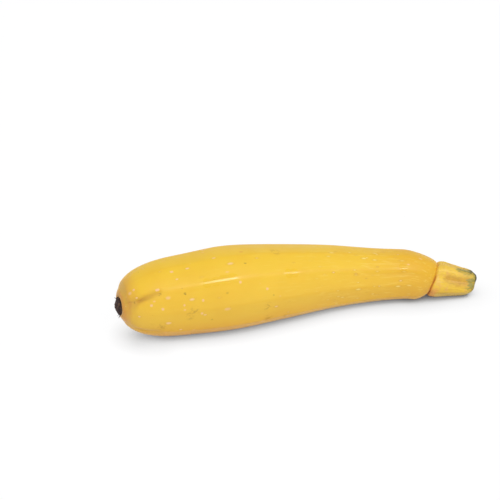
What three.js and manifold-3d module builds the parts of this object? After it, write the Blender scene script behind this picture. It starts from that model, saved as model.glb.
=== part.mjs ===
// A yellow zucchini lying on its side, as picked: the fruit, the stub of its cut stem
// and the dry scar where its blossom dropped off. Millimetres, +Z up, stem towards +X.

import * as THREE from "three";
import { mergeVertices } from "three/addons/utils/BufferGeometryUtils.js";
import Module from "manifold-3d";

const wasm = await Module();
wasm.setup();

// Driving dimensions. Each list has one value for each of seven evenly spaced stations,
// from the blossom end to the joint with the stem.
const fruitLength = 177;
const fruitRadii = [21.7, 21.1, 22, 19.9, 16.7, 14.2, 13.4];
const sidewaysBow = [0, 2.9, 2.6, 5.9, 9.9, 8.8, 3.3];
const furrowDepths = [1.2, 1.1, 0.3, 0.12, 0.15, 0.4, 0.5];
const crestHeights = [0.2, 0.35, 0.5, 0.5, 0.45, 0.35, 0.2];
const restHeight = 0.979; // height of the middle line, as a share of the radius there

const blossomCap = { length: 39, exponent: 2.5 };
const shoulder = { length: 15.5, exponent: 1.35 };
const joint = { radius: 7.6, height: 9.6, lean: 18, settleLength: 17 };
const dimple = { radius: 5.3, rimRadius: 6.4, depth: 1.3 };

// Furrows run the whole length at equal angles. Angles are in degrees, from +Y over the top.
const furrow = { count: 5, firstAngle: 150.5, width: 9 };
const crest = { offset: -9, width: 11 }; // a soft ridge on the upper side of each furrow

// A flared foot, five-sided flanks and a cut end that is hollow in the middle.
const gap = 0.3; // between pieces
const stem = { length: 22, tipHeight: 5.2, lobeDepth: 0.07 };
const stemOutline = [ // distance past the joint, radius
  [gap, 0], [gap, 8.4], [0.6, 9.2], [1.6, 9.8], [4, 10.1], [9, 9.1], [14, 8.1],
  [19.5, 6.9], [21.2, 6.2], [stem.length, 4.9], [21.7, 3.2], [21, 2.2], [21, 0],
];

// A dry disc seated in the dimple, frayed round its edge and sunken in the middle.
const scarRaggedness = 0.045;
const scarBack = dimple.depth - gap;
const scarOutline = [ // distance from the blossom end, radius
  [-0.5, 0], [-1, 1.6], [-0.8, 3.4], [0, 4.6], [0.5, 4.6], [scarBack, 3.9], [scarBack, 0],
];

const rings = 56;
const sides = 60;

const degrees = THREE.MathUtils.degToRad;
const { clamp, lerp, smoothstep } = THREE.MathUtils;

// A smooth curve through values at evenly spaced stations, read at a distance along the fruit.
function throughStations(values) {
  const points = values.map((value, i) => new THREE.Vector3(i, value, 0));
  const curve = new THREE.CatmullRomCurve3(points, false, "catmullrom", 0.5);
  return (distance) => curve.getPoint(clamp(distance / fruitLength, 0, 1)).y;
}

const radiusAt = throughStations(fruitRadii);
const furrowDepthAt = throughStations(furrowDepths);
const crestHeightAt = throughStations(crestHeights);

const spine = new THREE.CatmullRomCurve3(
  sidewaysBow.map((bow, i) => {
    const share = i / (sidewaysBow.length - 1);
    return new THREE.Vector3(share * fruitLength, bow, 0);
  }),
  false, "catmullrom", 0.5,
);

// Centre and axes of the cross section at a distance from the blossom end. Past the joint
// the line runs straight on, down to the cut end of the stem.
function crossSection(distance) {
  const share = clamp(distance / fruitLength, 0, 1);
  const centre = spine.getPoint(share);
  const forward = spine.getTangent(share);
  const pastJoint = distance - share * fruitLength;
  centre.addScaledVector(forward, pastJoint);

  const settled = smoothstep(distance, fruitLength - joint.settleLength, fruitLength);
  const fruitHeight = radiusAt(distance) * restHeight;
  const stemHeight = lerp(joint.height, stem.tipHeight, Math.max(pastJoint, 0) / stem.length);
  centre.z = lerp(fruitHeight, stemHeight, settled);

  const sideways = new THREE.Vector3(-forward.y, forward.x, 0);
  const upwards = new THREE.Vector3(0, 0, 1).applyAxisAngle(sideways, degrees(joint.lean) * settled);
  return { centre, sideways, upwards };
}

// Angle from the nearest furrow, in degrees.
function fromFurrow(angle) {
  const pitch = 360 / furrow.count;
  return THREE.MathUtils.euclideanModulo(angle - furrow.firstAngle + pitch / 2, pitch) - pitch / 2;
}

function fruitRelief(distance, angle, radius) {
  const offset = fromFurrow(angle);
  const groove = Math.exp(-((offset / furrow.width) ** 2)) * furrowDepthAt(distance);
  const ridge = Math.exp(-(((offset - crest.offset) / crest.width) ** 2)) * crestHeightAt(distance);
  const fadeAtPole = smoothstep(radius, dimple.rimRadius, 2 * dimple.rimRadius);
  return (ridge - groove) * fadeAtPole;
}

function stemRelief(distance, angle, radius) {
  const lobes = Math.cos(degrees(fromFurrow(angle) * furrow.count));
  return -stem.lobeDepth * radius * lobes;
}

function scarRelief(distance, angle, radius) {
  const turn = degrees(angle);
  const waves = Math.sin(3 * turn + 1) + 0.7 * Math.sin(7 * turn) + 0.5 * Math.sin(11 * turn + 2);
  return scarRaggedness * radius * waves;
}

// Turns a profile of (radius, distance) points round the middle line, with relief added.
// The lathe turns the other way round, so its x is taken with the sign changed.
function skin(profile, reliefAt, sideCount) {
  const geometry = new THREE.LatheGeometry(profile, sideCount);
  const position = geometry.attributes.position;
  const turned = new THREE.Vector3();
  for (let i = 0; i < position.count; i++) {
    turned.fromBufferAttribute(position, i);
    const distance = turned.y;
    const radius = Math.hypot(turned.x, turned.z);
    const angle = Math.atan2(turned.z, -turned.x);
    const reach = radius + reliefAt(distance, THREE.MathUtils.radToDeg(angle), radius);
    const { centre, sideways, upwards } = crossSection(distance);
    centre.addScaledVector(sideways, reach * Math.cos(angle));
    centre.addScaledVector(upwards, reach * Math.sin(angle));
    position.setXYZ(i, centre.x, centre.y, centre.z);
  }
  return geometry;
}

function toSolid(geometry) {
  const bare = geometry.clone();
  bare.deleteAttribute("normal");
  bare.deleteAttribute("uv");
  const merged = mergeVertices(bare);
  const corners = merged.index.array;
  const whole = [];
  for (let i = 0; i < corners.length; i += 3) {
    const [a, b, c] = corners.slice(i, i + 3);
    if (a !== b && b !== c && c !== a) whole.push(a, b, c);
  }
  return new wasm.Manifold(new wasm.Mesh({
    numProp: 3,
    vertProperties: merged.attributes.position.array,
    triVerts: Uint32Array.from(whole),
  }));
}

function toGeometry(solid) {
  const { vertProperties, triVerts } = solid.getMesh();
  const geometry = new THREE.BufferGeometry();
  geometry.setAttribute("position", new THREE.BufferAttribute(vertProperties, 3));
  geometry.setIndex(new THREE.BufferAttribute(triVerts, 1));
  geometry.computeVertexNormals();
  return geometry;
}

// Everything below the table is pressed away, which leaves the flat strip the fruit rests on.
function restOnTable(geometry) {
  const depth = 20;
  const table = new THREE.BoxGeometry(2 * fruitLength, fruitLength, depth);
  table.translate(fruitLength / 2, 0, -depth / 2);
  return toGeometry(toSolid(geometry).subtract(toSolid(table)));
}

function fruitProfile() {
  const rimShare = dimple.rimRadius / fruitRadii[0];
  const { length, exponent } = blossomCap;
  const rimDistance = length * (1 - (1 - rimShare ** exponent) ** (1 / exponent));
  const profile = [
    new THREE.Vector2(0, dimple.depth),
    new THREE.Vector2(dimple.radius, dimple.depth),
  ];
  for (let i = 0; i <= rings; i++) {
    const share = (1 - Math.cos(Math.PI * i / rings)) / 2;
    const distance = lerp(rimDistance, fruitLength, share);
    const intoCap = Math.max(1 - distance / length, 0);
    const cap = (1 - intoCap ** exponent) ** (1 / exponent);
    const intoShoulder = Math.max(1 - (fruitLength - distance) / shoulder.length, 0);
    const slope = (1 - intoShoulder ** shoulder.exponent) ** (1 / shoulder.exponent);
    profile.push(new THREE.Vector2(lerp(joint.radius, radiusAt(distance), slope) * cap, distance));
  }
  profile.push(new THREE.Vector2(0, fruitLength));
  return profile;
}

function makeFruit() {
  const material = new THREE.MeshStandardMaterial({ color: 0xf0c544, roughness: 0.4, metalness: 0 });
  return named("fruit", restOnTable(skin(fruitProfile(), fruitRelief, sides)), material);
}

function makeStem() {
  const profile = stemOutline.map(([distance, radius]) => new THREE.Vector2(radius, fruitLength + distance));
  const material = new THREE.MeshStandardMaterial({ color: 0xdfbf58, roughness: 0.6, metalness: 0 });
  return named("stem", restOnTable(skin(profile, stemRelief, sides)), material);
}

function makeScar() {
  const profile = scarOutline.map(([distance, radius]) => new THREE.Vector2(radius, distance));
  const material = new THREE.MeshStandardMaterial({ color: 0x3a2420, roughness: 0.9, metalness: 0 });
  return named("blossom_scar", toGeometry(toSolid(skin(profile, scarRelief, sides / 2))), material);
}

function named(name, geometry, material) {
  const mesh = new THREE.Mesh(geometry, material);
  mesh.name = name;
  return mesh;
}

const zucchini = new THREE.Group();
zucchini.add(makeFruit(), makeStem(), makeScar());

// The origin is the middle of the space the zucchini takes up, on the table.
const space = new THREE.Box3().setFromObject(zucchini);
const middle = space.getCenter(new THREE.Vector3());
zucchini.position.set(-middle.x, -middle.y, -space.min.z);

export default zucchini;
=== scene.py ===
import math
from functools import partial

import bpy
from mathutils import Matrix, Vector


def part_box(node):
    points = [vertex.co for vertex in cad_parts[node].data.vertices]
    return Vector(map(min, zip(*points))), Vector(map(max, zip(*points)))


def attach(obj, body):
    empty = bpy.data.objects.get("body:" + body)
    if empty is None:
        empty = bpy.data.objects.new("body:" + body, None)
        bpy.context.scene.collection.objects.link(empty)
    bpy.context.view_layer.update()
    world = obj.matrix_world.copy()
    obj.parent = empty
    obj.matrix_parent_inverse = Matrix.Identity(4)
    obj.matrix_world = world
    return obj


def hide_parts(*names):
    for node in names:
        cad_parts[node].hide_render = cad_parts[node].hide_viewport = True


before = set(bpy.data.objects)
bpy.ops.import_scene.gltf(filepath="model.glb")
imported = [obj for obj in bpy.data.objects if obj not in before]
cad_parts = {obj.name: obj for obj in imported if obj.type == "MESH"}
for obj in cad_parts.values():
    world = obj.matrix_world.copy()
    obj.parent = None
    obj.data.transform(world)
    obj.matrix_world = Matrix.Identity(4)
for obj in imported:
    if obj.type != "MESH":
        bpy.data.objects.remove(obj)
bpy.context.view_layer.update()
scene = bpy.context.scene
mm = 0.001

# node settings that come back often
plus = {"operation": "ADD"}
minus = {"operation": "SUBTRACT"}
times = {"operation": "MULTIPLY"}
over = {"operation": "DIVIDE"}
timesPlus = {"operation": "MULTIPLY_ADD"}
power = {"operation": "POWER"}
lessThan = {"operation": "LESS_THAN"}
smoothMax = {"operation": "SMOOTH_MAX"}
wrap = {"operation": "WRAP"}
radians = {"operation": "RADIANS"}
cosine = {"operation": "COSINE"}
scaled = {"operation": "SCALE"}
toUnit = {"operation": "NORMALIZE"}
toLength = {"operation": "LENGTH"}
smooth = {"interpolation_type": "SMOOTHSTEP"}


# Sets a node's inputs, by name from a dictionary or in order from a list. Each is a number,
# a socket, or another node, which stands for its first output.
def setInputs(tree, node, inputs):
    for name, value in inputs.items() if isinstance(inputs, dict) else enumerate(inputs):
        if isinstance(value, bpy.types.Node):
            value = value.outputs[0]
        if isinstance(value, bpy.types.NodeSocket):
            tree.links.new(value, node.inputs[name])
        else:
            node.inputs[name].default_value = value


# Adds a node with its settings and links. A kind without "Node" in it is short for ShaderNode.
def addNode(tree, kind, settings=None, inputs=None):
    node = tree.nodes.new(kind if "Node" in kind else "ShaderNode" + kind)
    for name, value in (settings or {}).items():
        setattr(node, name, value)
    setInputs(tree, node, inputs or {})
    return node


def linearColour(hexColour):
    channels = [int(hexColour[i:i + 2], 16) / 255 for i in (1, 3, 5)]
    linear = [c / 12.92 if c <= 0.04045 else ((c + 0.055) / 1.055) ** 2.4 for c in channels]
    return (*linear, 1.0)


def addObject(name, data):
    ob = bpy.data.objects.new(name, data)
    scene.collection.objects.link(ob)
    return ob


# angles in degrees, distances in metres; the camera stands off from "orbit" and looks at "aim"
camera = {"azimuth": -17.9, "elevation": 27.95, "distance": 0.75, "lens": 100.6, "sensorWidth": 36,
          "orbit": (0, 0, 0.020), "aim": (-0.0241, 0.0153, 0.0335)}


def makeCamera(spec):
    azimuth, elevation = (math.radians(spec[name]) for name in ("azimuth", "elevation"))
    towards = Vector((math.sin(azimuth) * math.cos(elevation),
                      -math.cos(azimuth) * math.cos(elevation),
                      math.sin(elevation)))
    data = bpy.data.cameras.new("studioCamera")
    data.lens = spec["lens"]
    data.sensor_width = spec["sensorWidth"]
    ob = addObject("studioCamera", data)
    ob.location = Vector(spec["orbit"]) + towards * spec["distance"]
    ob.rotation_euler = (Vector(spec["aim"]) - ob.location).to_track_quat("-Z", "Y").to_euler()
    scene.camera = ob


makeCamera(camera)
print("camera placed")


# The fruit, its stem and its scar are each a profile turned round the same bowed middle line.
# Sizes in mm, angles in degrees from the back over the top. "radii" and "bow" have one value for
# each of seven even stations, blossom end to joint. "restHeight" is the middle line's height as
# a share of the radius. "dimple" and outlines are (distance, radius), relief lists (distance,
# value), "furrowStrengths" is (angle past the first furrow, share of the full depth), and the
# marks ("scuffs", "specks", "polished", "flecks") are (distance, angle).
fruit = {
    "length": 177, "rings": 380, "sides": 220,
    "radii": [21.5, 20.9, 22.1, 20, 17.1, 14.2, 12.9],
    "bow": [0, 2.7, 2.1, 5.2, 8.5, 8.1, 3.3],
    "capLength": 39, "capExponent": 2.5, "shoulderLength": 17, "shoulderExponent": 2.1,
    "dimple": [(1.3, 0), (1.3, 4.77), (0.78, 5.3)], "rimRadius": 6.4, "restHeight": 0.962,
    "furrowAngle": 150.5, "furrowWidth": 9,
    "furrowDepths": [(0, 1.5), (5, 1.3), (10, 0.9), (16, 0.5), (20, 0.1), (26, 0), (110, 0.05),
                     (140, 0.2), (158, 0.3), (168, 0.15), (177, 0.1)],
    "furrowStrengths": [(0, 1), (72, 0.3), (144, 0.8), (216, 0.9), (288, 0.1), (360, 1)],
    "furrowDrifts": [(0, 9), (3.5, 9), (5.5, 4), (8, -1), (13, -5), (19, -8), (40, -8),
                     (80, -3), (100, 0), (177, 0)],
    "furrowSpreads": [(0, 3), (4, 2.2), (6, 1.3), (8, 0.7), (26, 0.8), (50, 1), (177, 1)],
    "creaseWidth": 4.5,
    "creaseDepths": [(0, 0), (6, 0.1), (8.5, 0.7), (16.5, 0.7), (19.5, 0.1), (23, 0), (177, 0)],
    "ribDepths": [(0, 0), (12, 0.1), (24, 0.3), (45, 0.5), (90, 0.52), (120, 0.42),
                  (150, 0.38), (162, 0.2), (170, 0.05), (177, 0)],
    "crestOffset": -9, "crestWidth": 6,
    "crestHeights": [(0, 0), (15, 0.1), (30, 0.15), (60, 0.15), (100, 0.1), (177, 0.1)],
    "buttonRadius": 9.5, "buttonDepth": 0.35, "fadeRadius": 5.5, "lobes": 0.0,
    "wander": 3, "wanderSize": 38, "lumps": 0.4, "lumpSize": 26,
    "fibres": 0.02, "fibreWidth": 1.6, "seed": 2.0,
    "scuffs": [(94, 230), (18, 200), (74, 210), (85, 215), (73, 187), (34, 184), (37, 176),
               (84, 101), (62, 12), (120, 50), (30, 300), (140, 330)],
    "specks": [(78, 229), (5, 151), (18, 145), (65, 120), (32, 150), (69, 218), (100, 20),
               (20, 330)],
    "flecks": [(6.5, 124), (17, 137), (17.7, 137), (13, 160), (18.5, 168), (27, 113),
               (27.6, 113), (31, 166), (41, 182), (42, 163), (60, 146), (73, 160)],
    "polished": [(45, 140), (49, 140), (53, 139), (57, 138), (87, 141), (90, 141), (157, 138)]}
joint = {"radius": 6.6, "height": 9.6, "lean": 18, "yaw": 14, "settleLength": 17}

# a skin with no relief and no marks, which the stem and the scar start from
level = [(0, 0), (1, 0)]
plain = {
    "furrowWidth": 9, "furrowDepths": level, "furrowStrengths": [(0, 1), (360, 1)],
    "furrowDrifts": level, "furrowSpreads": [(0, 1), (1, 1)], "creaseWidth": 4,
    "creaseDepths": level, "ribDepths": level, "crestWidth": 4, "crestHeights": level,
    "buttonRadius": 1, "buttonDepth": 0, "wander": 0, "wanderSize": 12,
    "scuffs": [], "specks": [], "polished": [], "flecks": []}
# on the stem, scuffs are bruises, specks are grey places, and polished ones dried olive
stem = {
    **plain, "length": 22, "rings": 130, "sides": 220,
    "tipHeight": 5.0, "tipLean": 23, "leanStart": 6,
    "outline": [(-0.7, 0), (-0.7, 7.6), (-0.3, 8.6), (0.5, 9.4), (1.8, 9.8), (4, 9.8),
                (9, 8.95), (14, 8.2), (17.6, 7.85), (19.8, 7.4), (21.2, 6.5), (22, 5.2),
                (22.1, 4.2), (21.6, 3), (21, 0)],
    "furrowWidth": 14, "furrowDepths": [(0, 0), (5, 0.2), (10, 0.3), (18, 0.2), (22, 0)],
    "creaseDepths": [(0, 0), (6, 0.1), (12, 0.2), (22, 0)],
    "fadeRadius": 2.5, "lobes": 0.045, "wander": 5, "lumps": 0.45, "lumpSize": 6,
    "fibres": 0.22, "fibreWidth": 1.1, "seed": 5.0,
    "scuffs": [(7, 147), (10, 149), (13, 147), (16, 144), (13, 158), (16, 157)],
    "specks": [(18.7, 148), (19.3, 158), (19.2, 167)],
    "polished": [(12.5, 98), (14.5, 104), (16.5, 105), (15.5, 96), (17.5, 94), (19.2, 82),
                 (20.3, 78), (20.2, 92), (20.8, 102), (21.5, 112), (21.7, 126)]}
scar = {
    **plain, "rings": 70, "sides": 130, "drop": 0.9, "forward": 0.3,
    "outline": [(-1.3, 0), (-1.7, 0.7), (-1.6, 1.5), (-1.1, 2.5), (-0.5, 3.5), (0, 4.3),
                (0.5, 4.8), (1.0, 4.7), (1.2, 4.0), (1.2, 0)],
    "fadeRadius": 2, "lobes": 0.05, "lumps": 1.3, "lumpSize": 1.6, "fibres": 0.0,
    "fibreWidth": 1.0, "seed": 1.0}
markKinds = ("Scuffs", "Specks", "Polished", "Flecks")


# Smooth curve through evenly spaced values, read at a share of the length.
def throughStations(values, share):
    last = len(values) - 1
    place = min(max(share, 0), 1) * last
    i = min(int(place), last - 1)
    ghosted = [2 * values[0] - values[1], *values, 2 * values[-1] - values[-2]]
    before, start, end, after = ghosted[i:i + 4]
    t = place - i
    slopeIn = (end - before) / 2
    slopeOut = (after - start) / 2
    return ((2 * t**3 - 3 * t**2 + 1) * start + (t**3 - 2 * t**2 + t) * slopeIn
            + (3 * t**2 - 2 * t**3) * end + (t**3 - t**2) * slopeOut)


def smoothShare(value):
    value = min(max(value, 0), 1)
    return value * value * (3 - 2 * value)


# The share of the full radius that is left at a share of the way into a rounded end.
def rounded(into, exponent):
    return (1 - into ** exponent) ** (1 / exponent)


def fruitRadius(distance):
    cap = rounded(max(1 - distance / fruit["capLength"], 0), fruit["capExponent"])
    intoShoulder = max(1 - (fruit["length"] - distance) / fruit["shoulderLength"], 0)
    slope = rounded(intoShoulder, fruit["shoulderExponent"])
    body = throughStations(fruit["radii"], distance / fruit["length"])
    return (joint["radius"] + (body - joint["radius"]) * slope) * cap


# (distance, radius) points of the fruit's outline, dimple and flat end included.
def fruitProfile():
    rimShare = fruit["rimRadius"] / fruit["radii"][0]
    rimDistance = fruit["capLength"] * (1 - rounded(rimShare, fruit["capExponent"]))
    points = list(fruit["dimple"])
    reach = fruit["length"] - rimDistance
    steps = 300
    for i in range(steps + 1):
        distance = rimDistance + reach * (1 - math.cos(math.pi * i / steps)) / 2
        points.append((distance, fruitRadius(distance)))
    points.append((fruit["length"], 0))
    return points


# The middle line: bowed sideways, as high as the fruit is thick, and sinking to the stem.
def fruitSpine():
    points = []
    steps = 120
    for i in range(steps + 1):
        share = i / steps
        distance = share * fruit["length"]
        settled = smoothShare(1 - (fruit["length"] - distance) / joint["settleLength"])
        height = throughStations(fruit["radii"], share) * fruit["restHeight"]
        points.append((distance, throughStations(fruit["bow"], share),
                       height + (joint["height"] - height) * settled))
    return points


# Straight on from the end of the fruit's line, down to the cut.
def stemSpine():
    bowBefore, bowEnd = fruit["bow"][-2:]
    slope = (bowEnd - bowBefore) / (fruit["length"] / (len(fruit["bow"]) - 1))
    reach = stem["length"] / math.hypot(1, slope)
    return [(fruit["length"], bowEnd, joint["height"]),
            (fruit["length"] + reach, bowEnd + slope * reach, stem["tipHeight"])]


def makeGuide(name, points):
    data = bpy.data.curves.new(name, "CURVE")
    data.dimensions = "3D"
    spline = data.splines.new("POLY")
    spline.points.add(len(points) - 1)
    for point, place in zip(spline.points, points):
        x, y, z = (tuple(place) + (0,))[:3]
        point.co = (x * mm, y * mm, z * mm, 1)
    return addObject(name, data)


# Loose points where marks go, on the unbent skin.
def makeMarks(name, marks, outline):
    places = []
    for distance, angle in marks:
        before, after = next(pair for pair in zip(outline, outline[1:])
                             if pair[0][0] <= distance < pair[1][0])
        across = (distance - before[0]) / (after[0] - before[0])
        radius = (before[1] + (after[1] - before[1]) * across) * mm
        turn = math.radians(angle)
        places.append((distance * mm, radius * math.cos(turn), radius * math.sin(turn)))
    mesh = bpy.data.meshes.new(name)
    mesh.from_pydata(places, [], [])
    return addObject(name, mesh)


# Reads a list of (distance, value) points at a share of the whole distance.
def readPoints(tree, share, points):
    whole = points[-1][0]
    least, most = (pick(value for place, value in points) for pick in (min, max))
    node = addNode(tree, "FloatCurve", None, {"Value": share})
    curve = node.mapping.curves[0]
    while len(curve.points) < len(points):
        curve.points.new(0.5, 0.5)
    for point, (place, value) in zip(curve.points, points):
        point.location = (place / whole, (value - least) / ((most - least) or 1))
    node.mapping.update()
    return addNode(tree, "MapRange", None, {"Value": node, "To Min": least, "To Max": most})


# The largest value of such a list, or 1 where all are nothing.
def largest(points):
    return max(value for place, value in points) or 1


# A bell shape across an angle, 1 in the middle.
def bellAcross(tree, angle, width):
    ratio = addNode(tree, "Math", over, [angle, width])
    square = addNode(tree, "Math", times, [ratio, ratio])
    return addNode(tree, "Math", power, [1 / math.e, square])


# A value with noise on it, up to half the amount either way.
def unevenly(tree, value, amount, dimensions, inputs):
    noise = addNode(tree, "TexNoise", {"noise_dimensions": dimensions}, inputs)
    centred = addNode(tree, "Math", minus, [noise, 0.5])
    return addNode(tree, "Math", timesPlus, [centred, amount, value])


# Starts a geometry tree with its named inputs; endTree leaves its result real and in its material.
def startTree(name, sockets):
    tree = bpy.data.node_groups.new(name, "GeometryNodeTree")
    tree.interface.new_socket("Geometry", in_out="OUTPUT", socket_type="NodeSocketGeometry")
    for kind, labels in {**sockets, "Material": ["Material"]}.items():
        for label in labels:
            tree.interface.new_socket(label, in_out="INPUT", socket_type="NodeSocket" + kind)
    return tree, addNode(tree, "NodeGroupInput").outputs


def endTree(tree, geometry, material):
    for kind in ("SetShadeSmooth", "RealizeInstances"):
        geometry = addNode(tree, "GeometryNode" + kind, None, {"Geometry": geometry})
    finished = addNode(tree, "GeometryNodeSetMaterial", None, {
        "Geometry": geometry, "Material": material})
    addNode(tree, "NodeGroupOutput", None, {"Geometry": finished})
    return tree


# Sizes that all three skins share: angles in degrees, lengths in mm, shares of a radius.
skin = {"furrows": 5, "edgeBluntness": 6, "flankMiddle": 0.33, "buttonEdges": (0.68, 1.3),
        "fibreStretch": 0.06, "pressing": 0.5, "welded": 0.01}


# The name of a skin's value in its dictionary, from its label in the tree.
def keyFor(label):
    words = label.replace(" ", "")
    return words[0].lower() + words[1:]


# Turns the profile round the spine, then raises and sinks the skin along its own normals: ten
# flattened flanks, furrows between every second pair, a crest beside each furrow, a groove round
# the button at the blossom end, five lobes on the stem. The underside is pressed flat on the table.
# Attributes for the materials: "grain" is the place on the unbent fruit, "shape" how far a point
# is down a furrow, down its crease and up on an edge, "marks" how far it is from the nearest scuff,
# speck and polished place, "flecks" how far from the nearest of the larger flecks.
def buildSkinTree(name, spec):
    tree, given = startTree(name, {
        "Object": ("Profile", "Spine", *markKinds), "Int": ("Rings", "Sides"),
        "Float": ("Length", "Lean From", "Lean To", "Lean Start", "Lean End", "Yaw From", "Yaw To",
                  "Furrow Angle", "Furrow Width", "Furrow Depth", "Crease Width", "Crease Depth",
                  "Rib Depth", "Crest Offset", "Crest Width", "Crest Height", "Button Radius",
                  "Button Depth", "Fade Radius", "Lobes", "Wander", "Wander Size", "Lumps",
                  "Lump Size", "Fibres", "Fibre Width", "Seed")})
    add = partial(addNode, tree)
    halfPitch = 180 / skin["furrows"]

    grid = add("GeometryNodeMeshGrid", None, {
        "Size X": 1, "Size Y": 1, "Vertices X": given["Rings"], "Vertices Y": given["Sides"]})
    flat = add("SeparateXYZ", None, [add("GeometryNodeInputPosition")]).outputs
    along = add("Math", plus, [flat["X"], 0.5])
    turn = add("Math", timesPlus, [flat["Y"], 360, 180])
    turnRadians = add("Math", radians, [turn])
    guides = {}
    for label in ("Profile", "Spine", *markKinds):
        info = add("GeometryNodeObjectInfo", None, {"Object": given[label]})
        guides[label] = info.outputs["Geometry"]
    profile = add("GeometryNodeSampleCurve", {"mode": "FACTOR"}, {
        "Curves": guides["Profile"], "Factor": along})
    outline = add("SeparateXYZ", None, [profile.outputs["Position"]]).outputs
    distance, radius = outline["X"], outline["Y"]
    share = add("Math", {**over, "use_clamp": True}, [distance, given["Length"]])

    # the cross section's centre and axes
    spine = add("GeometryNodeSampleCurve", {"mode": "FACTOR"}, {
        "Curves": guides["Spine"], "Factor": share}).outputs
    horizontal = add("VectorMath", times, [spine["Tangent"], (1, 1, 0)])
    forward = add("VectorMath", toUnit, [horizontal])
    sideways = add("VectorMath", {"operation": "CROSS_PRODUCT"}, [(0, 0, 1), forward])
    lean, yaw = (
        add("Math", radians, [add("MapRange", smooth, [
            distance, given["Lean Start"], given["Lean End"],
            given[way + " From"], given[way + " To"]])])
        for way in ("Lean", "Yaw"))
    turnedSideways, upwards = (
        add("VectorRotate", {"rotation_type": "AXIS_ANGLE"}, {
            "Vector": start, "Axis": axis, "Angle": angle})
        for start, axis, angle in ((sideways, (0, 0, -1), yaw), ((0, 0, 1), sideways, lean)))
    across, up = (
        add("Math", times, [radius, add("Math", way, [turnRadians])])
        for way in (cosine, {"operation": "SINE"}))
    # the profile may lie beyond the spine's ends, as the sunken cut of the stem does
    beyond = add("Math", minus, [distance, add("Math", times, [share, given["Length"]])])
    sidePart, upPart, endPart = (
        add("VectorMath", scaled, {0: axis, "Scale": reach})
        for axis, reach in ((turnedSideways, across), (upwards, up), (forward, beyond)))
    ringPart = add("VectorMath", plus, [sidePart, upPart])
    centre = add("VectorMath", plus, [spine["Position"], endPart])
    place = add("VectorMath", plus, [centre, ringPart])

    # angle from the nearest furrow; furrows and edges wander a little along the fruit
    wandered = unevenly(tree, turn, given["Wander"], "2D", {
        "Vector": add("CombineXYZ", None, [distance, given["Seed"]]),
        "Scale": add("Math", over, [1, given["Wander Size"]]), "Detail": 1})
    fromFirst = add("Math", minus, [wandered, given["Furrow Angle"]])
    offset = add("Math", wrap, [fromFirst, halfPitch, -halfPitch])
    fromCrest = add("Math", minus, [offset, given["Crest Offset"]])

    # shapes across the section; a furrow drifts to one side and widens towards the button
    drift, spread = (readPoints(tree, share, spec["furrow" + key]) for key in ("Drifts", "Spreads"))
    drifted = add("Math", minus, [offset, drift])
    furrowReach = add("Math", times, [given["Furrow Width"], spread])
    crestShape = bellAcross(tree, fromCrest, given["Crest Width"])
    toEdge = add("Math", {"operation": "PINGPONG"}, [fromCrest, halfPitch / 2])
    blunted = add("Math", smoothMax, [toEdge, 1, skin["edgeBluntness"]])
    flank = add("MapRange", None, [blunted, halfPitch / 2, 0])
    arched = add("Math", times, [flank, flank])
    ribShape = add("Math", minus, [arched, skin["flankMiddle"]])

    # five furrows of five strengths
    furrowPlace = add("Math", wrap, [fromFirst, 360, 0])
    strength = readPoints(tree, add("Math", over, [furrowPlace, 360]), spec["furrowStrengths"])
    furrowShape, creaseShape = (
        add("Math", times, [bellAcross(tree, drifted, width), strength])
        for width in (furrowReach, given["Crease Width"]))

    # how deep each one is along the length; all fade out towards the ends' middles
    fadeEnd = add("Math", times, [given["Fade Radius"], 2])
    fade = add("MapRange", smooth, [radius, given["Fade Radius"], fadeEnd])
    relief = 0
    presence = {}
    for label, shape, sign in (("Furrow Depth", furrowShape, -1), ("Crease Depth", creaseShape, -1),
                               ("Crest Height", crestShape, 1), ("Rib Depth", ribShape, 1)):
        values = spec[keyFor(label) + "s"]
        shares = [(place, value / largest(values)) for place, value in values]
        faded = add("Math", times, [readPoints(tree, share, shares), fade])
        presence[label] = add("Math", times, [faded, shape])
        signed = add("Math", times, [given[label], sign])
        relief = add("Math", timesPlus, [presence[label], signed, relief])

    # the groove round the button, gentle inside and steep where the lobes begin; then the lobes
    sinking, rising = (
        add("MapRange", smooth, [
            radius, add("Math", times, [given["Button Radius"], edge]), given["Button Radius"]])
        for edge in skin["buttonEdges"])
    ring = add("Math", times, [sinking, rising])
    atBlossom = add("Math", lessThan, [share, 0.5])
    lobeTurn = add("Math", times, [offset, math.radians(skin["furrows"])])
    lobeWave = add("Math", cosine, [lobeTurn])
    for shape, reach, depth in ((ring, atBlossom, "Button Depth"), (lobeWave, radius, "Lobes")):
        reached = add("Math", times, [shape, reach])
        sunk = add("Math", times, [reached, given[depth]])
        relief = add("Math", minus, [relief, sunk])

    # attributes, then the base skin as one closed mesh
    grain = add("CombineXYZ", None, [distance, across, up])
    nearest = [
        add("GeometryNodeProximity", {"target_element": "POINTS"}, {
            "Geometry": guides[label], "Sample Position": grain}).outputs["Distance"]
        for label in markKinds]
    geometry = grid
    for label, kind, value in (
            ("grain", "FLOAT_VECTOR", grain),
            ("shape", "FLOAT_VECTOR", add("CombineXYZ", None, [
                presence["Furrow Depth"], presence["Crease Depth"], arched])),
            ("marks", "FLOAT_VECTOR", add("CombineXYZ", None, nearest[:3])),
            ("flecks", "FLOAT", nearest[3]), ("relief", "FLOAT", relief)):
        geometry = add("GeometryNodeStoreNamedAttribute", {"data_type": kind}, {
            "Geometry": geometry, "Name": label, "Value": value})
    turned = add("GeometryNodeSetPosition", None, {"Geometry": geometry, "Position": place})
    joined = add("GeometryNodeMergeByDistance", None, {
        "Geometry": turned, "Distance": skin["welded"] * mm})
    outward = add("GeometryNodeFlipFaces", None, {"Mesh": joined})

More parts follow.
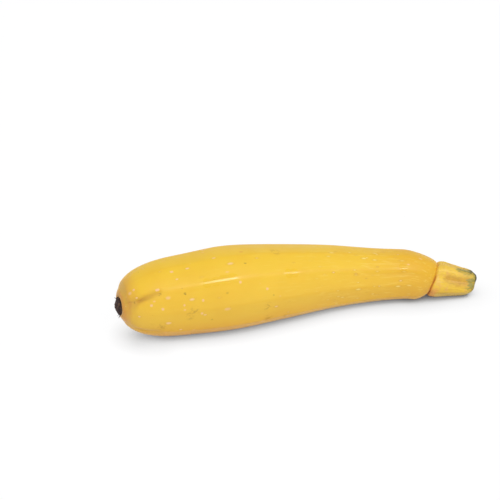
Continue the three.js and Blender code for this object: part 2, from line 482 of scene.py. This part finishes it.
    # relief along the normals, with the slight lumps and fibres of anything grown
    grainAgain, reliefAgain = (
        add("GeometryNodeInputNamedAttribute", {"data_type": kind}, {"Name": label})
        for label, kind in (("grain", "FLOAT_VECTOR"), ("relief", "FLOAT")))
    withLumps = unevenly(tree, reliefAgain, given["Lumps"], "4D", {
        "Vector": grainAgain, "W": given["Seed"], "Detail": 3, "Roughness": 0.45,
        "Scale": add("Math", over, [1, given["Lump Size"]])})
    height = unevenly(tree, withLumps, given["Fibres"], "4D", {
        "Vector": add("VectorMath", times, [grainAgain, (skin["fibreStretch"], 1, 1)]),
        "W": given["Seed"], "Detail": 1, "Scale": add("Math", over, [1, given["Fibre Width"]])})
    raising = add("VectorMath", scaled, {0: add("GeometryNodeInputNormal"), "Scale": height})
    raised = add("GeometryNodeSetPosition", None, {"Geometry": outward, "Offset": raising})

    final = add("SeparateXYZ", None, [add("GeometryNodeInputPosition")]).outputs
    pressed = add("Math", smoothMax, [final["Z"], 0, skin["pressing"] * mm])
    onTable = add("CombineXYZ", None, [final["X"], final["Y"], pressed])
    rested = add("GeometryNodeSetPosition", None, {"Geometry": raised, "Position": onTable})
    return endTree(tree, rested, given["Material"])


# Runs a tree on an empty mesh and returns the result as a plain mesh object.
def runTree(name, tree, values):
    host = addObject(name + "Host", bpy.data.meshes.new(name + "Host"))
    modifier = host.modifiers.new("nodes", "NODES")
    modifier.node_group = tree
    for socket in tree.interface.items_tree:
        if socket.in_out == "INPUT" and socket.name in values:
            modifier[socket.identifier] = values[socket.name]
    bpy.context.view_layer.update()
    evaluated = host.evaluated_get(bpy.context.evaluated_depsgraph_get())
    mesh = bpy.data.meshes.new_from_object(evaluated)
    mesh.name = name
    host.modifiers.remove(modifier)
    bpy.data.objects.remove(host)
    return addObject(name, mesh)


# "turning" holds how the cross section turns along the spine, as the tree's inputs.
def makeSkin(name, spec, profilePoints, spinePoints, turning, material):
    guides = {"Profile": makeGuide(name + "Profile", profilePoints),
              "Spine": makeGuide(name + "Spine", spinePoints)}
    for label in markKinds:
        guides[label] = makeMarks(name + label, spec[keyFor(label)], profilePoints)
    values = {**turning, "Furrow Angle": fruit["furrowAngle"], "Crest Offset": fruit["crestOffset"],
              "Wander": 2 * spec["wander"]}
    for label in ("Furrow Width", "Crease Width", "Crest Width", "Lobes", "Seed"):
        values[label] = spec[keyFor(label)]
    for label in ("Button Radius", "Button Depth", "Fade Radius", "Wander Size", "Lumps",
                  "Lump Size", "Fibres", "Fibre Width"):
        values[label] = spec[keyFor(label)] * mm
    for label in ("Furrow Depth", "Crease Depth", "Rib Depth", "Crest Height"):
        values[label] = largest(spec[keyFor(label) + "s"]) * mm
    values = {label: float(value) for label, value in values.items()}
    ob = runTree(name, buildSkinTree(name + "Tree", spec), {
        **guides, **values, "Material": material,
        "Rings": spec["rings"], "Sides": spec["sides"] + 1})
    for guide in guides.values():
        bpy.data.objects.remove(guide)
    return ob


def meshBox(ob):
    places = [v.co for v in ob.data.vertices]
    return [Vector([pick(p[i] for p in places) for i in range(3)]) for pick in (min, max)]


def finishPiece(ob, node, shift):
    ob.data.transform(Matrix.Translation(shift))
    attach(ob, "root")
    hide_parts(node)
    print(ob.name, "made, faces:", len(ob.data.polygons),
          "box in mm:", [[round(v / mm, 1) for v in corner] for corner in meshBox(ob)])


# Lays colours over each other, each where its mask is 1 and at most as strong as given.
def layColours(tree, colour, masks, coats):
    for name, hexColour, most in coats:
        strength = addNode(tree, "Math", {**times, "use_clamp": True}, [masks[name], most])
        colour = addNode(tree, "Mix", {"data_type": "RGBA"}, {
            0: strength, 6: colour, 7: linearColour(hexColour)}).outputs[2]
    return colour


def startMaterial(name):
    material = bpy.data.materials.new(name)
    material.use_nodes = True
    return material, material.node_tree, material.node_tree.nodes["Principled BSDF"]


# The grain of a skin, then the X, Y and Z of its grain, shape, marks and place.
def readSkin(tree):
    grain, shape, marks = (
        addNode(tree, "Attribute", {"attribute_name": name}).outputs["Vector"]
        for name in ("grain", "shape", "marks"))
    place = addNode(tree, "TexCoord").outputs["Object"]
    return grain, *(addNode(tree, "SeparateXYZ", None, [value]).outputs
                    for value in (grain, shape, marks, place))


# Rind of a yellow zucchini: a thin natural wax over tough skin. It shows soft highlights on the
# crests, pale breathing pores, fine lines along the fruit, which near the stem are partly painted
# glints, and brown scuffs where the wax is gone.
# "coats" are (where, colour, strength), each laid over those before it. "pores" are (name,
# spacing and size in mm, stretch along the fruit, share of the places filled, share of the size
# that is solid, shift), and "poreGrowth" is how much smaller and larger single ones are. "bloom"
# is the sheen of the wax, "glow" the light that comes back from under the skin.
rind = {
    "ripening": [(0.0, "#F4C83E"), (0.12, "#F1C534"), (0.75, "#F1C534"), (0.92, "#E9B42A"),
                 (0.985, "#E7B328")],
    "coats": [
        # painted shade: the flank coat dulls and greys the sides and underside, and the low side of
        # the thick part is darker orange
        ("clouds", "#E9B42A", 0.38), ("flank", "#E8BC62", 0.3), ("lowSide", "#E39C3A", 0.6),
        # painted light: the lowest edge of the thick part and of the neck is brighter, as light
        # thrown up from the table
        # painted shade: the neck's crest edges are darker, to offset the glints there
        ("lowRim", "#F5A944", 0.7), ("neckRim", "#FFD070", 0.9), ("neckEdge", "#E9B42A", 0.5),
        # painted shade: the furrow and crease coats darken the grooves as deep as they sink
        # painted shade: the top of the blossom end is a darker tan
        ("furrow", "#CE9F4C", 0.9), ("crease", "#B98536", 0.6), ("endAbove", "#DB9A48", 0.45),
        ("end", "#DB9A48", 0.5), ("halo", "#D9AC46", 0.75), ("scarRing", "#DB9A48", 0.75),
        # the pale lines near the stem are partly the skin's streaks and partly painted glints
        ("lines", "#F8D867", 0.45), ("redSpot", "#DE7B42", 0.4), ("fleckRing", "#D29A38", 0.5),
        ("fleck", "#F8DB98", 0.75), ("bellyFleck", "#F7C898", 0.65),
        ("neckRing", "#D29A38", 0.3), ("neckFleck", "#F9E07C", 0.95),
        ("pinkFleck", "#F7C898", 0.6), ("largeFleck", "#F7C898", 0.9), ("dot", "#745328", 0.22),
        ("scuffs", "#B5843F", 0.5), ("specks", "#745328", 0.65), ("joint", "#BF7030", 0.85)],
    "pores": [("fleckRing", 3.2, 1.7 * 0.62, 2.2, 0.21, 0.4, 0),
              ("fleck", 3.2, 0.62, 2.2, 0.21, 0.2, 0),
              ("neckRing", 2.3, 1.6 * 0.66, 3.2, 0.8, 0.4, 0.6),
              ("neckFleck", 2.3, 0.66, 3.2, 0.8, 0.2, 0.6),
              ("pinkFleck", 1.5 * 3.2, 1.3 * 0.62, 1.7, 0.36, 0.2, 0.3),
              ("dot", 6, 0.5, 1.0, 0.6, 0.5, 0.5), ("redSpot", 15, 1.3, 1.6, 0.5, 0.2, 0.8)],
    "poreGrowth": (1.5, 0.7), "poreHeight": 0.8, "pitting": 0.3, "pitDepth": 0.05,
    "ior": 1.32, "waxRoughness": (0.44, 0.54), "scuffing": 0.3, "polish": 0.34,
    "bloom": 0.8, "bloomTint": "#F2D8A8", "bloomRoughness": 0.3,
    "glow": 0.08, "glowDepth": 1.5, "glowColour": (1.0, 0.6, 0.15)}


# Small spots in the skin, drawn out along the fruit: how far a point is from the nearest, in mm,
# and a chance from 0 to 1 that is the same all over one spot.
def scatterSpots(tree, grain, spacing, stretch, shift):
    drawn = addNode(tree, "VectorMath", timesPlus, [grain, (1 / stretch, 1, 1), (shift,) * 3])
    cells = addNode(tree, "TexVoronoi", None, {
        "Vector": drawn, "Scale": 1 / (spacing * mm)}).outputs
    chance = addNode(tree, "SeparateColor", None, [cells["Color"]]).outputs
    growth = addNode(tree, "MapRange", None, [
        chance["Green"], 0, 1, *(limit * spacing for limit in rind["poreGrowth"])])
    return addNode(tree, "Math", times, [cells["Distance"], growth]), chance["Red"]


def makeRindMaterial():
    material, tree, shader = startMaterial("waxyZucchiniRind")
    add = partial(addNode, tree)
    grain, unbent, shape, marks, place = readSkin(tree)
    along, height = unbent["X"], place["Z"]
    share = add("Math", over, [along, fruit["length"] * mm])

    # ripening from the blossom end to the stem
    ramp = add("ValToRGB", None, [share])
    elements = ramp.color_ramp.elements
    while len(elements) < len(rind["ripening"]):
        elements.new(0.5)
    for element, (stop, hexColour) in zip(elements, rind["ripening"]):
        element.position = stop
        element.color = linearColour(hexColour)

    # patterns: scale along the fruit (less is longer), size in mm, detail and roughness; the real
    # lines and pits are finer, and these are as coarse as they have to be to show
    noises = {}
    for name, drawnOut, size, detail, roughness in (
            ("clouds", 1, 20, 3, 0.5), ("lines", 0.05, 1.0, 2, 0.6),
            ("scratches", 0.5, 1.3, 3, 0.65), ("ragged", 1, 3, 3, 0.5),
            ("bloom", 1, 6, 4, 0.6), ("pits", 1, 0.9, 2, 0.5)):
        noises[name] = add("TexNoise", None, {
            "Vector": add("VectorMath", times, [grain, (drawnOut, 1, 1)]),
            "Scale": 1 / (size * mm), "Detail": detail, "Roughness": roughness})

    # pinkish pores on the thick part, small cream ones in darker rings on the neck, and dark dots
    smaller = add("MapRange", None, [share, 0.35, 0.75, 0.85, 1.3])
    # each groove's depth, for the painted shade in the furrows and the crease
    masks = {"furrow": shape["X"], "crease": shape["Y"]}
    for name, spacing, size, stretch, filled, core, shift in rind["pores"]:
        spread, chance = scatterSpots(tree, grain, spacing, stretch, shift)
        reach = add("Math", times, [spread, smaller])
        present = add("Math", lessThan, [chance, filled])
        edge = add("MapRange", smooth, [reach, size, core * size])
        masks[name] = add("Math", times, [edge, present])
    masks["bellyFleck"] = masks["fleck"]

    # distances with a ragged edge: from the end, from the middles of the halo and of the ring
    # round the scar, and from the large flecks
    flecks = add("Attribute", {"attribute_name": "flecks"}).outputs["Fac"]
    away = {"end": along, "largeFleck": flecks}
    for name, centre in (("halo", (0, -0.5 * mm, -2.5 * mm)), ("scarRing", (0, 0, 0.8 * mm))):
        fromCentre = add("VectorMath", timesPlus, [grain, (0, 1, 1), centre])
        away[name] = add("VectorMath", toLength, [fromCentre]).outputs["Value"]
    for name, pattern, wave in (("end", "ragged", 1.5), ("halo", "ragged", 3),
                                ("scarRing", "ragged", 2), ("largeFleck", "scratches", 1)):
        away[name] = add("Math", timesPlus, [noises[pattern], wave * mm, away[name]])

    # where each mask begins and where it is full, then its values there if not 0 and 1
    outwards = add("VectorMath", toUnit, [add("VectorMath", times, [grain, (0, 1, 1)])])
    upwards = add("SeparateXYZ", None, [outwards]).outputs["Z"]
    for name, value, *limits in (
            # lines: pale streaks, near the stem partly painted glints
            ("clouds", noises["clouds"], 0.42, 0.68), ("lines", noises["lines"], 0.56, 0.7),
            # flank is painted shade: duller and greyer where the skin faces sideways and down
            ("scratches", noises["scratches"], 0.47, 0.6), ("flank", upwards, 0.7, 0),
            # neckEdge is painted shade on the neck's crest edges
            ("neckEdge", shape["Z"], 0.6, 0.95), ("thickPart", share, 0.3, 0.75, 1, 0.15),
            ("thinPart", share, 0.3, 0.7, 0.35, 1), ("nearStem", share, 0.3, 0.85, 0.1, 1),
            ("neck", share, 0.55, 0.7), ("shortOfStem", share, 0.95, 0.88),
            ("lowOnJoint", height, 15.5 * mm, 12.5 * mm, 0.1, 1),
            ("waxRoughness", noises["bloom"], 0.3, 0.7, *rind["waxRoughness"])):
        masks[name] = add("MapRange", None, [value, *limits])
    # the same in mm, with soft ends
    for name, value, start, full in (
            # painted: shade on the low side of the thick part, light from the table along the
            # lowest rims
            ("lowSide", height, 18, 2), ("lowRim", height, 6, 1.5), ("neckRim", height, 5, 1),
            ("scuffs", marks["X"], 3.6, 0.6), ("specks", marks["Y"], 1.2, 0.4),
            ("polished", marks["Z"], 4.4, 1.2), ("largeFleck", away["largeFleck"], 1.5, 0.8),
            ("halo", away["halo"], 11.6, 10.4), ("scarRing", away["scarRing"], 10.4, 8.9),
            # endAbove is painted shade over the upper side of the blossom end
            ("end", away["end"], 5.5, 3.2), ("endAbove", away["end"], 11, 4),
            ("upperSide", unbent["Z"], 2, 12), ("joint", away["end"], 176.2, 177.8)):
        masks[name] = add("MapRange", smooth, [value, start * mm, full * mm])
    masks["blossomEnd"] = add("Math", lessThan, [share, 0.3])
    # and each of these only as far as the other goes
    for name, other in (
            ("lowSide", "thickPart"), ("lowRim", "thickPart"), ("bellyFleck", "thickPart"),
            ("neckRim", "thinPart"), ("neckEdge", "thinPart"), ("fleckRing", "thinPart"),
            ("neck", "shortOfStem"), ("neckRing", "neck"), ("neckFleck", "neck"),
            ("lines", "nearStem"), ("scuffs", "scratches"), ("specks", "scratches"),
            ("halo", "blossomEnd"), ("scarRing", "blossomEnd"), ("endAbove", "upperSide"),
            ("joint", "lowOnJoint")):
        masks[name] = add("Math", times, [masks[name], masks[other]])

    # wax: duller where scuffed, rubbed shiny in a few places on the crests, finely pitted like all
    # grown skin, pores a hair proud, and with a bloom that is pale where seen edge on
    scuffed = add("Math", timesPlus, [masks["scuffs"], rind["scuffing"], masks["waxRoughness"]])
    roughness = add("Math", {**timesPlus, "use_clamp": True}, [
        masks["polished"], -rind["polish"], scuffed])
    pored = add("Math", timesPlus, [masks["fleck"], rind["poreHeight"], noises["pits"]])
    setInputs(tree, shader, {
        "Base Color": layColours(tree, ramp, masks, rind["coats"]), "Roughness": roughness,
        "Normal": add("Bump", None, {
            "Strength": rind["pitting"], "Distance": rind["pitDepth"] * mm, "Height": pored}),
        "IOR": rind["ior"], "Sheen Weight": rind["bloom"],
        "Sheen Roughness": rind["bloomRoughness"], "Sheen Tint": linearColour(rind["bloomTint"]),
        "Subsurface Weight": rind["glow"], "Subsurface Radius": rind["glowColour"],
        "Subsurface Scale": rind["glowDepth"] * mm})
    return material


# Cut stem: ribbed, fibrous and dry at the surface. Matte, yellow at its foot, going olive and
# grey-brown with pale fibres towards the cut. The cut face is corky, with a grey hollow. It starts
# at "cutStart" mm, and the stem dries back "dryingOnTop" mm further on its upper side.
stalk = {
    "base": "#EFC643",
    "coats": [
        ("ochreFibres", "#D0A03E", 0.4), ("pinkPatches", "#E5A571", 0.3),
        ("valley", "#D0A03E", 0.35), ("valleyBlots", "#9A7436", 0.55),
        ("bruised", "#CC9638", 0.65), ("drying", "#85803A", 0.25),
        ("dried", "#85803A", 0.85), ("greyEnd", "#8E8A48", 0.35), ("greyed", "#8E8A48", 0.8),
        # painted light: the lowest coat pales the stem's bottom, as light thrown up from the table
        ("paleFibres", "#F0DB96", 0.3), ("paintedStemLowLight", "#F0DB96", 0.5),
        ("darkRim", "#2C2A18", 0.8), ("blackEnd", "#2C2A18", 0.85), ("face", "#B9A67C", 0.9),
        # glow is painted light: a warm tint low on the foot, as light thrown up from the table
        ("core", "#8C7C7C", 0.9), ("glow", "#F0A860", 0.7), ("foot", "#BF7030", 0.8)],
    "cutStart": 20.3, "dryingOnTop": 3,
    "roughness": (0.4, 0.6), "ribbing": 0.45, "ribDepth": 0.2, "ior": 1.35}


def makeStemMaterial():
    material, tree, shader = startMaterial("ribbedCutStem")
    add = partial(addNode, tree)
    grain, unbent, shape, marks, place = readSkin(tree)
    along, height = unbent["X"], place["Z"]
    fibres, patches, blots = (
        add("TexNoise", None, {
            "Vector": add("VectorMath", timesPlus, [grain, (drawnOut, 1, 1), (shift,) * 3]),
            "Scale": 1 / (size * mm), "Detail": detail, "Roughness": roughness})
        for drawnOut, shift, size, detail, roughness in (
            (0.15, 0, 1.1, 4, 0.65), (1, 0, 3.5, 3, 0.6), (0.5, 0.2, 1.6, 3, 0.6)))

    # where each mask begins and where it is full, then its values there if not 0 and 1
    masks = {"valley": shape["X"]}
    for name, value, *limits in (
            ("ochreFibres", fibres, 0.48, 0.6), ("paleFibres", fibres, 0.4, 0.28),
            ("pinkPatches", patches, 0.52, 0.66), ("valleyBlots", blots, 0.52, 0.62),
            ("onTop", height, 9 * mm, 13 * mm), ("rimFade", height, 9 * mm, 13 * mm, 0.3, 1),
            ("footFade", height, 15.5 * mm, 12.5 * mm, 0.1, 1),
            ("roughness", fibres, 0.3, 0.7, *stalk["roughness"])):
        masks[name] = add("MapRange", None, [value, *limits])

    # ragged distances: it dries back from the cut, further on top and along some fibres than
    # others, and has patches where it was bruised, where it went grey and where it dried olive
    furtherOnTop = add("Math", timesPlus, [masks["onTop"], stalk["dryingOnTop"] * mm, along])
    drying, greying, rim, foot, bruise, grey, olive = (
        add("Math", timesPlus, [pattern, wave * mm, start])
        for pattern, wave, start in (
            (fibres, 16, furtherOnTop), (blots, 14, along), (patches, 4, along),
            (patches, 1.2, along), (fibres, 9, marks["X"]), (fibres, 12, marks["Y"]),
            (fibres, 9, marks["Z"])))
    fromAxis = add("VectorMath", toLength, [
        add("VectorMath", times, [grain, (0, 1, 1)])]).outputs["Value"]
    # masks in mm, with soft ends; the last are the cut face, its hollow and the line at the foot
    for name, value, start, full in (
            ("bruised", bruise, 7.5, 5.4), ("greyed", grey, 8.4, 6.72), ("dried", olive, 7.9, 5.52),
            ("blackEnd", marks["Z"], 2.2, 1.2), ("nearCut", along, 16, 19),
            ("pastFoot", along, 3, 8), ("drying", drying, 24, 29), ("greyEnd", greying, 25, 28),
            # glow and lowest mark where light from the table is painted on the stem's underside
            ("darkRim", rim, 21.4, 22.8), ("glow", along, 5, 2), ("lowDown", height, 11, 6),
            ("paintedStemLowLight", height, 5, 2), ("face", fromAxis, 5.0, 4.3), ("core", fromAxis, 3.1, 2.0),
            ("foot", foot, 1.2, 0.3)):
        masks[name] = add("MapRange", smooth, [value, start * mm, full * mm])
    masks["cut"] = add("Math", {"operation": "GREATER_THAN"}, [along, stalk["cutStart"] * mm])
    # and each of these only as far as the other goes
    for name, other in (("valley", "pastFoot"), ("valleyBlots", "valley"), ("blackEnd", "nearCut"),
                        ("darkRim", "rimFade"), ("face", "cut"), ("core", "cut"),
                        ("foot", "footFade"), ("glow", "lowDown")):
        masks[name] = add("Math", times, [masks[name], masks[other]])

    setInputs(tree, shader, {
        "Base Color": layColours(tree, linearColour(stalk["base"]), masks, stalk["coats"]),
        "Roughness": masks["roughness"], "IOR": stalk["ior"],
        "Normal": add("Bump", None, {
            "Strength": stalk["ribbing"], "Distance": stalk["ribDepth"] * mm, "Height": fibres})})
    return material


# Blossom scar: dead cork, dark brown and dry, with paler torn fibres.
cork = {"base": "#3A2420", "coats": [("dark", "#1A1110", 0.9), ("torn", "#9A7A52", 0.8)],
        "crumbSize": 1.2, "roughness": 0.85, "crust": 0.8, "crustDepth": 0.3}


def makeScarMaterial():
    material, tree, shader = startMaterial("dryCorkScar")
    add = partial(addNode, tree)
    crumbs = add("TexNoise", None, {
        "Vector": add("TexCoord").outputs["Object"], "Scale": 1 / (cork["crumbSize"] * mm),
        "Detail": 4, "Roughness": 0.7})
    masks = {name: add("MapRange", None, [crumbs, start, full])
             for name, start, full in (("dark", 0.5, 0.35), ("torn", 0.57, 0.66))}
    setInputs(tree, shader, {
        "Base Color": layColours(tree, linearColour(cork["base"]), masks, cork["coats"]),
        "Roughness": cork["roughness"],
        "Normal": add("Bump", None, {
            "Strength": cork["crust"], "Distance": cork["crustDepth"] * mm, "Height": crumbs})})
    return material


fruitEnd = fruit["length"] * mm
fruitSkin = makeSkin("fruitSkin", fruit, fruitProfile(), fruitSpine(), {
    "Length": fruitEnd, "Lean From": 0, "Lean To": joint["lean"],
    "Yaw From": 0, "Yaw To": joint["yaw"], "Lean End": fruitEnd,
    "Lean Start": (fruit["length"] - joint["settleLength"]) * mm}, makeRindMaterial())
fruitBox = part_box("fruit")
skinBox = meshBox(fruitSkin)
intoFrame = (fruitBox[0] + fruitBox[1] - skinBox[0] - skinBox[1]) / 2
intoFrame.z = 0
finishPiece(fruitSkin, "fruit", intoFrame)

stemEnd = stem["length"] * mm
stemStub = makeSkin("stemStub", stem, stem["outline"], stemSpine(), {
    "Length": stemEnd, "Lean From": joint["lean"], "Lean To": stem["tipLean"],
    "Yaw From": joint["yaw"], "Yaw To": 0, "Lean End": stemEnd,
    "Lean Start": stem["leanStart"] * mm}, makeStemMaterial())
finishPiece(stemStub, "stem", intoFrame)

scarMaterial = makeScarMaterial()
blossomScar = makeSkin("blossomScar", scar, scar["outline"], fruitSpine(), {
    "Length": fruitEnd, "Lean From": 0, "Lean To": 0, "Yaw From": 0, "Yaw To": 0,
    "Lean Start": 1 * mm, "Lean End": 2 * mm}, scarMaterial)
drop = Vector((scar["forward"], 0, -scar["drop"])) * mm
finishPiece(blossomScar, "blossom_scar", intoFrame + drop)


# What is left of the blossom: dry, curled shreds round the scar. Sizes in mm; "leastTurn" and
# "mostTurn" are how far each is turned out of line, in radians about each axis.
shreds = {
    "count": 13, "ring": 3.1, "length": 2.2, "bendAt": 0.6, "curl": 1.3, "thickness": 0.3,
    "flatness": 0.35, "taper": (1.2, 0.25), "sizes": (0.5, 1.25), "offFace": 0.8,
    "leastTurn": (-0.5, -0.5, -0.6), "mostTurn": (0.5, 0.3, 0.6), "seed": 4}


def buildShredsTree():
    tree, given = startTree("shredsTree", {
        "Int": ("Count", "Seed"), "Float": ("Ring", "Length", "Curl", "Thickness", "Flatness"),
        "Vector": ("Place", "Facing")})
    add = partial(addNode, tree)

    # one shred: a flat, tapering strand that curls off the face
    bend = add("GeometryNodeCurveQuadraticBezier", None, {
        "Resolution": 7, "Start": (0, 0, 0),
        "Middle": add("CombineXYZ", None, [
            add("Math", times, [given["Length"], shreds["bendAt"]])]),
        "End": add("CombineXYZ", None, {"X": given["Length"], "Z": given["Curl"]})})
    section, ring = (
        add("GeometryNodeCurvePrimitiveCircle", None, {
            "Resolution": corners, "Radius": given[size]}).outputs["Curve"]
        for corners, size in ((6, "Thickness"), (64, "Ring")))
    flat = add("GeometryNodeTransform", None, {
        "Geometry": section, "Scale": add("CombineXYZ", None, [given["Flatness"], 1, 1])})
    share = add("GeometryNodeSplineParameter").outputs["Factor"]
    taper = add("MapRange", None, [share, 0, 1, *shreds["taper"]])
    strand = add("GeometryNodeCurveToMesh", None, {
        "Curve": bend, "Profile Curve": flat, "Scale": taper, "Fill Caps": True})

    points = add("GeometryNodeCurveToPoints", None, {"Curve": ring, "Count": given["Count"]})
    place = add("SeparateXYZ", None, [add("GeometryNodeInputPosition")]).outputs
    turn = add("Math", {"operation": "ARCTAN2"}, [place["Y"], place["X"]])
    uneven = add("FunctionNodeRandomValue", {"data_type": "FLOAT_VECTOR"}, {
        0: shreds["leastTurn"], 1: shreds["mostTurn"], 8: given["Seed"]})
    turned = add("VectorMath", plus, [add("CombineXYZ", None, {"Z": turn}), uneven])
    least, most = shreds["sizes"]
    size = add("FunctionNodeRandomValue", None, {2: least, 3: most, 8: given["Seed"]})
    scattered = add("GeometryNodeInstanceOnPoints", None, {
        0: points, 2: strand, 5: add("FunctionNodeEulerToRotation", None, [turned]),
        6: size.outputs[1]})
    seated = add("GeometryNodeTransform", None, {
        "Geometry": scattered, "Translation": given["Place"], "Rotation": given["Facing"]})
    return endTree(tree, seated, given["Material"])


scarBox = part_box("blossom_scar")
scarMiddle = (scarBox[0] + scarBox[1]) / 2
blossomShreds = runTree("blossomShreds", buildShredsTree(), {
    "Count": shreds["count"], "Seed": shreds["seed"], "Flatness": shreds["flatness"],
    **{label: shreds[label.lower()] * mm for label in ("Ring", "Length", "Curl", "Thickness")},
    "Place": Vector((scarBox[0].x + shreds["offFace"] * mm, *scarMiddle.yz)) + drop,
    "Facing": (0, math.radians(-90), 0), "Material": scarMaterial})
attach(blossomShreds, "root")
print("blossomShreds made, faces:", len(blossomShreds.data.polygons))


# Everything round the fruit is white. The camera and reflections see it as plain white, and the
# floor they see gives off white light with a painted shadow: dimmed by an ambient occlusion curve
# where the fruit closes it in, over faintly lit paper. Lamps and floor are in metres. The shadow's
# reach in mm and its power are listed along the floor between its ends; its curve is (openness,
# light left).
studio = {
    "worldLight": 0.67, "paper": 0.85, "shownPaper": (0.05, 0.05, 0.055), "shownLift": 0.96,
    "floorSize": 4.0, "shadowEnds": (-120, 120),
    "shadowReach": [(0, 14), (24, 14), (36, 14), (50, 10), (135, 10), (180, 16), (240, 18)],
    "shadowPower": [(0, 1.7), (20, 1.7), (40, 1), (135, 1), (173, 1.2), (198, 1.75), (240, 1.5)],
    "shadowCurve": [(0, 0.08), (0.1, 0.27), (0.13, 0.34), (0.19, 0.49), (0.27, 0.67),
                    (0.38, 0.8), (0.5, 0.87), (0.7, 0.94), (1, 1)],
    "softbox": {"place": (0.3, -1.71, 2.07), "size": (1.2, 1.5), "power": 28},
    "glints": [{"place": (0.095, -0.49, 0.742), "size": (0.43, 0.32), "power": 6.6},
               {"place": (0.535, -0.355, 0.554), "size": (0.07, 0.32), "power": 2}]}


def seenDirectly(tree):
    path = addNode(tree, "LightPath").outputs
    larger = {"operation": "MAXIMUM"}
    mirrored = addNode(tree, "Math", larger, [path["Is Glossy Ray"], path["Is Transmission Ray"]])
    return addNode(tree, "Math", larger, [path["Is Camera Ray"], mirrored])


def makeFloor():
    half = studio["floorSize"] / 2
    mesh = bpy.data.meshes.new("studioFloor")
    mesh.from_pydata([(-half, -half, 0), (half, -half, 0), (half, half, 0), (-half, half, 0)],
                     [], [(0, 1, 2, 3)])
    ob = addObject("studioFloor", mesh)
    material, tree = startMaterial("whitePaperFloor")[:2]
    tree.nodes.clear()
    add = partial(addNode, tree)
    paper, faintLitPaper = (add("BsdfDiffuse", None, {"Color": (*colour, 1)})
                       for colour in ((studio["paper"],) * 3, studio["shownPaper"]))
    across = add("SeparateXYZ", None, [add("TexCoord").outputs["Object"]]).outputs["X"]
    share = add("MapRange", None, [across, *(end * mm for end in studio["shadowEnds"])])
    reach = add("Math", times, [readPoints(tree, share, studio["shadowReach"]), mm])
    # painted shadow: light given off by the paper, dimmed where the fruit closes it in
    openness = add("AmbientOcclusion", {"samples": 16}, {"Distance": reach}).outputs["AO"]
    depth = readPoints(tree, share, studio["shadowPower"])
    deepened = add("Math", power, [openness, depth])
    softened = readPoints(tree, deepened, studio["shadowCurve"])
    paintedPaperLight = add("Math", times, [softened, studio["shownLift"]])
    paintedShadowPaper = add("AddShader", None, [faintLitPaper, add("Emission", None, {"Strength": paintedPaperLight})])
    shown = add("MixShader", None, [seenDirectly(tree), paper, paintedShadowPaper])
    add("OutputMaterial", None, {"Surface": shown})
    mesh.materials.append(material)


def makeWorld():
    world = bpy.data.worlds.new("whiteStudio")
    scene.world = world
    world.use_nodes = True
    tree = world.node_tree
    tree.nodes.clear()
    strength = addNode(tree, "MapRange", None, [
        seenDirectly(tree), 0, 1, studio["worldLight"], 1.0])
    light = addNode(tree, "Background", None, {"Color": (1, 1, 1, 1), "Strength": strength})
    addNode(tree, "OutputWorld", None, {"Surface": light})


def makeLamp(name, spec):
    data = bpy.data.lights.new(name, "AREA")
    data.shape = "RECTANGLE"
    data.size, data.size_y = spec["size"]
    data.energy = spec["power"]
    ob = addObject(name, data)
    ob.location = spec["place"]
    ob.rotation_euler = (-Vector(spec["place"])).to_track_quat("-Z", "Y").to_euler()
    return ob


makeFloor()
makeWorld()
softbox = makeLamp("softbox", studio["softbox"])
softbox.visible_glossy = False
for i, spec in enumerate(studio["glints"]):
    glint = makeLamp("glint" + str(i), spec)
    glint.visible_diffuse = False  # only seen mirrored in the wax
scene.view_settings.view_transform = "Standard"
print("studio lit")
